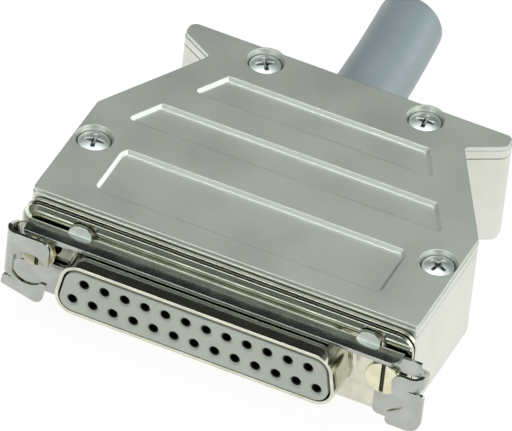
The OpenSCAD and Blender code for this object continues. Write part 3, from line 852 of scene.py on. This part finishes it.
@dataclass
class CoverScrews:
    """Cross-recessed pan heads in their pockets. Lengths in millimetres, angles in degrees."""

    seats: ScrewSeats = ScrewSeats()
    # Head: a shallow dome, whose crown takes a share of the radius and then turns down
    head_d: float = 4.1
    head_h: float = 1.0
    dome: float = 0.3
    crown_start: float = 0.02
    crown_share: float = 0.93
    edge_start: float = 20.0
    edge_h: float = 0.12
    # Shank with a short point, narrowed to a share of the thread
    thread_d: float = 2.5
    length: float = 8.0
    point_h: float = 0.3
    point_share: float = 0.7
    tip_r: float = 0.02
    # Slots of the recess: half width, its growth inside the flare, half length, depth
    slot_half: float = 0.27
    slot_flare: float = 0.12
    flare_r: float = 0.7
    slot_reach: float = 1.25
    slot_depth: float = 0.3
    # Extra depth at the middle, and the radius at which it starts
    centre_depth: float = 0.45
    centre_r: float = 1.2
    # Widths of the slopes at a slot's sides and ends
    side_run: float = 0.1
    end_run: float = 0.22
    # Depth at which the recess's painted shade is full
    full_shade_depth: float = 0.45
    # Rings and sides of the surface
    crown_rings: int = 44
    edge_rings: int = 6
    sides: int = 120

    def profile(self) -> tuple[np.ndarray, np.ndarray]:
        """Outline of the screw from its crown down to its tip.

        The crown falls with the square of the radius, and its edge turns down
        along an elliptic arc. Underside, thread and point are straight.

        Returns:
            Radii, and heights over the head's underside.
        """
        r = self.head_d / 2
        crown = np.linspace(self.crown_start, self.crown_share, self.crown_rings) * r
        crown_z = self.head_h - self.dome * (crown / r) ** 2
        turn = np.radians(np.linspace(self.edge_start, 90, self.edge_rings))
        edge = self.crown_share * r + (1 - self.crown_share) * r * np.sin(turn)
        edge_z = crown_z[-1] - self.edge_h + self.edge_h * np.cos(turn)
        t = self.thread_d / 2
        radii = [crown, edge, [r, t, t, self.point_share * t, self.tip_r]]
        tip = -self.length
        heights = [crown_z, edge_z, [0.0, 0.0, tip + self.point_h, tip, tip]]
        return np.concatenate(radii), np.concatenate(heights)

    def recess(self, x: np.ndarray, y: np.ndarray) -> np.ndarray:
        """Depth of the cross recess: two crossed slots, wider and deepest at the middle.

        Args:
            x: Distance from the axis along the first slot, in millimetres.
            y: Distance from the axis along the second slot, in millimetres.

        Returns:
            Depth below the crown, in millimetres.
        """
        reach = np.hypot(x, y)
        half = self.slot_half + self.slot_flare * smooth_step(1.0 - reach / self.flare_r)

        def slot(along: np.ndarray, across: np.ndarray) -> np.ndarray:
            """Share of the depth in one slot, whose sides and ends slope."""
            inside = smooth_step((half - np.abs(across)) / self.side_run)
            return inside * smooth_step((self.slot_reach - np.abs(along)) / self.end_run)

        deeper = self.centre_depth * smooth_step(1.0 - reach / self.centre_r)
        return np.maximum(slot(x, y), slot(y, x)) * (self.slot_depth + deeper)

    def screw(self, name: str, place: np.ndarray, turn: float) -> None:
        """Make one screw: its outline turned round its axis, with the recess pressed in.

        Shade is painted into the recess, darker with depth, and onto all that lies under the head.

        Args:
            name: The CAD node that it stands for.
            place: X and Y of its axis, in millimetres.
            turn: Turn of the recess, in degrees.
        """
        radii, heights = self.profile()
        ring = np.arange(len(radii))[:, None]
        crown = ring < self.crown_rings
        angle = np.linspace(0, 2 * np.pi, self.sides, endpoint=False)
        r, a = np.meshgrid(radii, angle, indexing="ij")
        spin = a - math.radians(turn)
        pressed = np.where(crown, self.recess(r * np.cos(spin), r * np.sin(spin)), 0.0)
        z = self.seats.floor_z + heights[:, None] - pressed
        grid = np.stack([place[0] + r * np.cos(a), place[1] + r * np.sin(a), z], axis=-1)
        faces = ring_faces(len(radii), self.sides)[:, ::-1]
        piece = add_piece(
            name + ".turned", grid.reshape(-1, 3) * MM, faces, SCREW_STEEL, (name,), sharp=60.0
        )
        under = np.where(ring < self.crown_rings + self.edge_rings, 0.0, 1.0)
        # Painted shade in the recess by its depth, and on everything below the head's edge
        mark_painted_shade(piece, np.maximum(np.clip(pressed / self.full_shade_depth, 0.0, 1.0), under))

    def build(self) -> None:
        """Make the four screws."""
        axes = self.seats.axes()
        for name, turn in self.seats.turns:
            self.screw(name, axes[name], turn)


@dataclass
class Connector:
    """Shells, insulator and lock screws of the connector.

    Lengths in millimetres, the slant of the shell's short sides in degrees. The
    shell's width is its wide side's, with the corners taken sharp.
    """

    flange_y: float = -21.2
    shell_w: float = 39.0
    shell_h: float = 7.75
    slant: float = 10.0
    corner_r: float = 2.6
    fillet_r: float = 0.7
    sunk: float = 0.01
    slot_floor_y: float = -22.4
    corner_spans: int = 14
    fillet_spans: int = 12

    def lock_screw(self, node: str) -> None:
        """Smooth a lock screw and paint shade on the floor of its slot.

        Args:
            node: Name of the screw's CAD node.
        """
        points, faces = merged_mesh(node)
        piece = add_piece(node + ".smooth", points, faces, LOCK_SCREW_STEEL, (node,))
        # Painted shade on the points at the depth of the slot's floor
        mark_painted_shade(piece, np.abs(points[:, 1] / MM - self.slot_floor_y) < NEAR)

    def outline(self) -> tuple[np.ndarray, np.ndarray]:
        """Points and outward normals round the D-shaped shell.

        Each corner is an arc that touches the two sides beside it, and straight
        sides join the arcs. The wide side is the lower one.

        Returns:
            X and Z of the points over the connector axis, and of the normals.
        """
        w, h, r = self.shell_w / 2, self.shell_h / 2, self.corner_r
        lean = math.radians(self.slant)
        top = w - self.shell_h * math.tan(lean)
        low_x = w - r * math.tan(math.pi / 4 + lean / 2)
        high_x = top - r * math.tan(math.pi / 4 - lean / 2)
        arcs = (
            (low_x, r - h, -math.pi / 2, lean),
            (high_x, h - r, lean, math.pi / 2),
            (-high_x, h - r, math.pi / 2, math.pi - lean),
            (-low_x, r - h, math.pi - lean, 1.5 * math.pi),
        )
        points, normals = [], []
        for x, z, start, end in arcs:
            angle = np.linspace(start, end, self.corner_spans + 1)
            normal = np.stack([np.cos(angle), np.sin(angle)], axis=-1)
            points.append(np.array([x, z]) + r * normal)
            normals.append(normal)
        return np.concatenate(points), np.concatenate(normals)

    def fillet(self) -> None:
        """Make the drawn radius where the shell rises from its flange.

        A concave quarter circle is carried round the outline, square to it. Its two
        ends are sunk a little into the shell and the flange.
        """
        points, normals = self.outline()
        angle = np.radians(np.linspace(0, 90, self.fillet_spans + 1))
        out = self.fillet_r * (1 - np.cos(angle)) - self.sunk
        back = self.flange_y - self.fillet_r * (1 - np.sin(angle)) + self.sunk
        ring = points[None] + out[:, None, None] * normals[None]
        depth = np.repeat(back[:, None], len(points), axis=1)
        axis_z = middle_mm("front_insulator")[2]
        grid = np.stack([ring[..., 0], depth, ring[..., 1] + axis_z], axis=-1)
        faces = ring_faces(len(angle), len(points))
        add_piece("shell_radius", grid.reshape(-1, 3) * MM, faces, SHELL_TIN)

    def build(self) -> None:
        """Smooth the shells, the face and the lock screws, and add the drawn radius."""
        smooth_copy("front_shell", SHELL_TIN)
        smooth_copy("rear_shell", SHELL_TIN)
        smooth_copy("front_insulator", INSULATOR_GREY)
        self.lock_screw("left_lock_screw")
        self.lock_screw("right_lock_screw")
        self.fillet()


@dataclass
class SlideLock:
    """The bent sheet that slides across the flange. Lengths in millimetres.

    The two tongues stand on the bar's upper edge. The foot is how far a tongue's
    front spreads forward at the bar, and the lean how far its tip goes back.
    """

    tongue_x: tuple[float, float] = (-18.25, 20.95)
    tongue_half: float = 1.6
    tongue_h: float = 1.15
    bar_top: float = 13.4
    front_y: float = -22.05
    back_y: float = -21.55
    foot: float = 0.25
    lean: float = 0.12

    def bent(self, points: np.ndarray) -> np.ndarray:
        """Lean the two tongues back and widen their feet, as a pressed bend leaves them.

        Front points slide forward at the foot and back at the tip; back points lean
        back in step with their height.

        Args:
            points: Points of the sheet in metres.

        Returns:
            The moved points.
        """
        x, y, z = (points / MM).T
        across = np.min([np.abs(x - middle) for middle in self.tongue_x], axis=0)
        share = (z - self.bar_top) / self.tongue_h
        tongue = (across < self.tongue_half + NEAR) & (share > -NEAR)
        front = tongue & (np.abs(y - self.front_y) < NEAR)
        back = tongue & (np.abs(y - self.back_y) < NEAR) & (share > NEAR)
        moved = points.copy()
        moved[front, 1] += (share[front] * (self.lean + self.foot) - self.foot) * MM
        moved[back, 1] += share[back] * self.lean * MM
        return moved

    def build(self) -> None:
        """Smooth the folds of the sheet and bend its tongues."""
        points, faces = merged_mesh("slide_lock")
        add_piece(
            "slide_lock.smooth", self.bent(points), faces, LOCK_STEEL, ("slide_lock",),
            body="slide_lock",
        )


@dataclass
class Cable:
    """The cable's jacket, slightly tapered and bent behind the hood.

    Lengths in millimetres. Its ends and its axis come from its CAD node. The bend
    starts a little inside the hood's rear face.
    """

    diameter: float = 9.4
    end_diameter: float = 8.9
    wall: float = 0.75
    bend_inset: float = 0.4
    bend_r: float = 250.0
    edge_r: float = 0.25
    bore_run: float = 3.0
    rings: int = 24
    edge_rings: int = 6
    sides: int = 96

    def build(self) -> None:
        """Make the jacket: a closed wall profile carried round a gently bent axis.

        Each ring is a circle in an X-Z plane. Its middle follows a circle of the
        bend's radius behind the hood, and its radius shrinks evenly to the cut end.
        """
        start, end = box_mm("cable_jacket")[:, 1]
        bend_y = box_mm("hood_base")[1, 1] - self.bend_inset
        arc = np.radians(np.linspace(0, 90, self.edge_rings))
        outer_y = [start, *np.linspace(bend_y, end - self.edge_r, self.rings)]
        edge_y = end - self.edge_r * (1 - np.sin(arc))
        inner_y = [end, end - self.bore_run, start]
        y = np.concatenate([outer_y, edge_y, inner_y])
        deep = np.concatenate([
            np.zeros(len(outer_y)), self.edge_r * (1 - np.cos(arc)),
            np.full(len(inner_y), self.wall),
        ])
        run = np.maximum(y - bend_y, 0.0)
        middle = np.sqrt(self.bend_r ** 2 - run ** 2) - self.bend_r
        narrowing = (self.diameter - self.end_diameter) * run / (end - bend_y)
        radius = (self.diameter - narrowing) / 2 - deep
        angle = np.linspace(0, 2 * np.pi, self.sides, endpoint=False)
        x = middle[:, None] + radius[:, None] * np.cos(angle)
        z = middle_mm("cable_jacket")[2] - radius[:, None] * np.sin(angle)
        grid = np.stack([x, np.repeat(y[:, None], self.sides, axis=1), z], axis=-1)
        faces = ring_faces(len(y), self.sides, joined=True)
        add_piece(
            "cable_jacket.bent", grid.reshape(-1, 3) * MM, faces, CABLE_GREY, ("cable_jacket",)
        )


@dataclass(frozen=True)
class Panel:
    """A round soft light far away, as strong as its tone; a negative tone darkens.

    Attributes:
        towards: Direction to its middle.
        inner: Half angle of its full part, in degrees.
        outer: Half angle at which it ends, in degrees.
        tone: Strength of its full part.
    """

    towards: tuple[float, float, float]
    inner: float
    outer: float
    tone: float

    def strength(self, graph: Graph, way: bpy.types.NodeSocket) -> bpy.types.NodeSocket:
        """Strength along a direction, by the cosine of its angle to the middle.

        Args:
            graph: The world's node graph.
            way: The direction that is looked along.

        Returns:
            The full tone inside the inner angle, and none past the outer.
        """
        dot = graph.add("ShaderNodeVectorMath", operation="DOT_PRODUCT")
        graph.link(way, dot.inputs[0])
        dot.inputs[1].default_value = Vector(self.towards).normalized()
        end, full = (math.cos(math.radians(angle)) for angle in (self.outer, self.inner))
        return graph.spread(dot.outputs["Value"], end, full, 0.0, self.tone)


@dataclass
class Studio:
    """Pale floor, soft light and the camera.

    Lengths in metres, angles in degrees, the lens and its sensor in millimetres.
    Each step of the sky is a share of the way up and the light's strength there.
    """

    azimuth: float = 20.262
    elevation: float = 40.770
    roll: float = 6.437
    distance: float = 1.2172
    lens: float = 694.93
    sensor: float = 36.0
    aim: tuple[float, float, float] = (0.00201, -0.01541, 0.02054)
    floor_half: float = 1.5
    floor_tone: float = 0.82
    shown_tone: float = 0.12
    shown_glow: float = 0.92
    floor_tint: Colour = (1.0, 0.995, 0.95)
    sky: tuple[tuple[float, float], ...] = (
        (0.0, 0.8), (0.15, 0.7), (0.4, 0.19), (0.82, 0.2), (0.95, 0.6), (1.0, 0.9),
    )
    sky_tint: Colour = (0.92, 1.0, 0.95)
    darkest: float = 0.03
    panels: tuple[Panel, ...] = (
        Panel((-0.3, -0.9, 0.35), inner=8.0, outer=19.0, tone=2.3),
        Panel((0.85, -0.2, 0.5), inner=12.0, outer=30.0, tone=1.9),
        Panel((0.7, 0.65, 0.15), inner=15.0, outer=30.0, tone=1.8),
        Panel((-0.3, 0.95, 0.1), inner=25.0, outer=50.0, tone=-0.7),
    )
    lamp_place: tuple[float, float, float] = (-0.1, 0.12, 0.9)
    lamp_side: float = 0.7
    lamp_power: float = 3.7

    def camera(self) -> None:
        """Make the camera: it looks back along its azimuth and elevation, rolled a little."""
        az, el, roll = (math.radians(a) for a in (self.azimuth, self.elevation, self.roll))
        back = Vector((math.sin(az) * math.cos(el), -math.cos(az) * math.cos(el), math.sin(el)))
        level = Vector((math.cos(az), math.sin(az), 0.0))
        upright = back.cross(level)
        right = math.cos(roll) * level + math.sin(roll) * upright
        up = -math.sin(roll) * level + math.cos(roll) * upright
        data = bpy.data.cameras.new("camera")
        data.lens = self.lens
        data.sensor_width = self.sensor
        data.clip_end = 10.0
        camera = add_object("camera", data)
        turn = Matrix((right, up, back)).transposed().to_4x4()
        camera.matrix_world = Matrix.Translation(Vector(self.aim) + self.distance * back) @ turn
        bpy.context.scene.camera = camera

    def paper(self) -> bpy.types.Material:
        """Make the floor's material.

        Matt surfaces get their light from plain pale paper. The camera and mirrored
        views see it glow almost white, with a faint shadow.

        Returns:
            The node material.
        """
        material = bpy.data.materials.new("pale floor")
        graph = fresh_graph(material)
        pale = graph.add("ShaderNodeBsdfDiffuse")
        pale.inputs["Color"].default_value = grey(self.floor_tone)
        shown = graph.add("ShaderNodeBsdfDiffuse")
        shown.inputs["Color"].default_value = grey(self.shown_tone)
        paths = graph.add("ShaderNodeLightPath").outputs
        tint = graph.add("ShaderNodeMix", data_type="RGBA")
        graph.link(paths["Is Glossy Ray"], tint.inputs["Factor"])
        tint.inputs["A"].default_value = grey(1.0)
        tint.inputs["B"].default_value = (*self.floor_tint, 1.0)
        glow = graph.add("ShaderNodeEmission")
        glow.inputs["Strength"].default_value = self.shown_glow
        graph.link(tint.outputs["Result"], glow.inputs["Color"])
        white = graph.add("ShaderNodeAddShader")
        graph.link(shown.outputs[0], white.inputs[0])
        graph.link(glow.outputs[0], white.inputs[1])
        seen = graph.math("MAXIMUM", paths["Is Camera Ray"], paths["Is Glossy Ray"])
        mix = graph.add("ShaderNodeMixShader")
        graph.link(seen, mix.inputs["Fac"])
        graph.link(pale.outputs[0], mix.inputs[1])
        graph.link(white.outputs[0], mix.inputs[2])
        output = graph.add("ShaderNodeOutputMaterial")
        graph.link(mix.outputs[0], output.inputs["Surface"])
        return material

    def floor(self) -> None:
        """Lay the square floor under the part."""
        half = self.floor_half
        mesh = bpy.data.meshes.new("floor")
        points = [(-half, -half, 0), (half, -half, 0), (half, half, 0), (-half, half, 0)]
        mesh.from_pydata(points, [], [(0, 1, 2, 3)])
        mesh.materials.append(self.paper())
        add_object("floor", mesh)

    def lamp(self) -> None:
        """Hang the square soft light over the part, facing it."""
        data = bpy.data.lights.new("overhead light", "AREA")
        data.size = self.lamp_side
        data.energy = self.lamp_power
        data.color = self.sky_tint
        place = Vector(self.lamp_place)
        turn = place.to_track_quat("Z", "Y").to_matrix().to_4x4()
        add_object("overhead light", data).matrix_world = Matrix.Translation(place) @ turn

    def sky_strength(self, graph: Graph, way: bpy.types.NodeSocket) -> bpy.types.NodeSocket:
        """Strength of the sky by height, darker where level metal looks.

        Args:
            graph: The world's node graph.
            way: The direction that is looked along.

        Returns:
            The strength along that direction.
        """
        split = graph.add("ShaderNodeSeparateXYZ")
        graph.link(way, split.inputs[0])
        ramp = graph.add("ShaderNodeValToRGB")
        steps = ramp.color_ramp.elements
        for _ in self.sky[2:]:
            steps.new(1.0)
        for step, (height, tone) in zip(steps, self.sky):
            step.position = height
            step.color = grey(tone)
        graph.link(split.outputs["Z"], ramp.inputs["Fac"])
        strength = graph.add("ShaderNodeRGBToBW")
        graph.link(ramp.outputs["Color"], strength.inputs[0])
        return strength.outputs[0]

    def world(self) -> None:
        """Light the room with the sky and the soft panels, and show white behind the part."""
        world = bpy.data.worlds.new("room")
        bpy.context.scene.world = world
        graph = fresh_graph(world)
        way = graph.add("ShaderNodeTexCoord").outputs["Generated"]
        total = self.sky_strength(graph, way)
        for panel in self.panels:
            total = graph.math("ADD", total, panel.strength(graph, way))
        room = graph.add("ShaderNodeBackground")
        room.inputs["Color"].default_value = (*self.sky_tint, 1.0)
        graph.link(graph.math("MAXIMUM", total, self.darkest), room.inputs["Strength"])
        white = graph.add("ShaderNodeBackground")
        white.inputs["Color"].default_value = grey(1.0)
        paths = graph.add("ShaderNodeLightPath")
        mix = graph.add("ShaderNodeMixShader")
        graph.link(paths.outputs["Is Camera Ray"], mix.inputs["Fac"])
        graph.link(room.outputs[0], mix.inputs[1])
        graph.link(white.outputs[0], mix.inputs[2])
        output = graph.add("ShaderNodeOutputWorld")
        graph.link(mix.outputs[0], output.inputs["Surface"])

    def build(self) -> None:
        """Make the camera, the floor and the lights, and set the plain view."""
        self.camera()
        self.floor()
        self.world()
        self.lamp()
        bpy.context.scene.view_settings.view_transform = "Standard"
        LOG.info("set up the studio")


def corners(box: tuple[Vector, Vector]) -> list[list[float]]:
    """Turn a box's two corners into plain lists of numbers."""
    return [[float(x) for x in corner] for corner in box]


def main() -> None:
    """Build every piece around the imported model."""
    logging.basicConfig(level=logging.INFO, format="%(message)s")
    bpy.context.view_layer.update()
    Studio().build()
    Interior().build()
    Hood().build()
    CoverScrews().build()
    Connector().build()
    SlideLock().build()
    Cable().build()


if __name__ == "__main__":
    main()
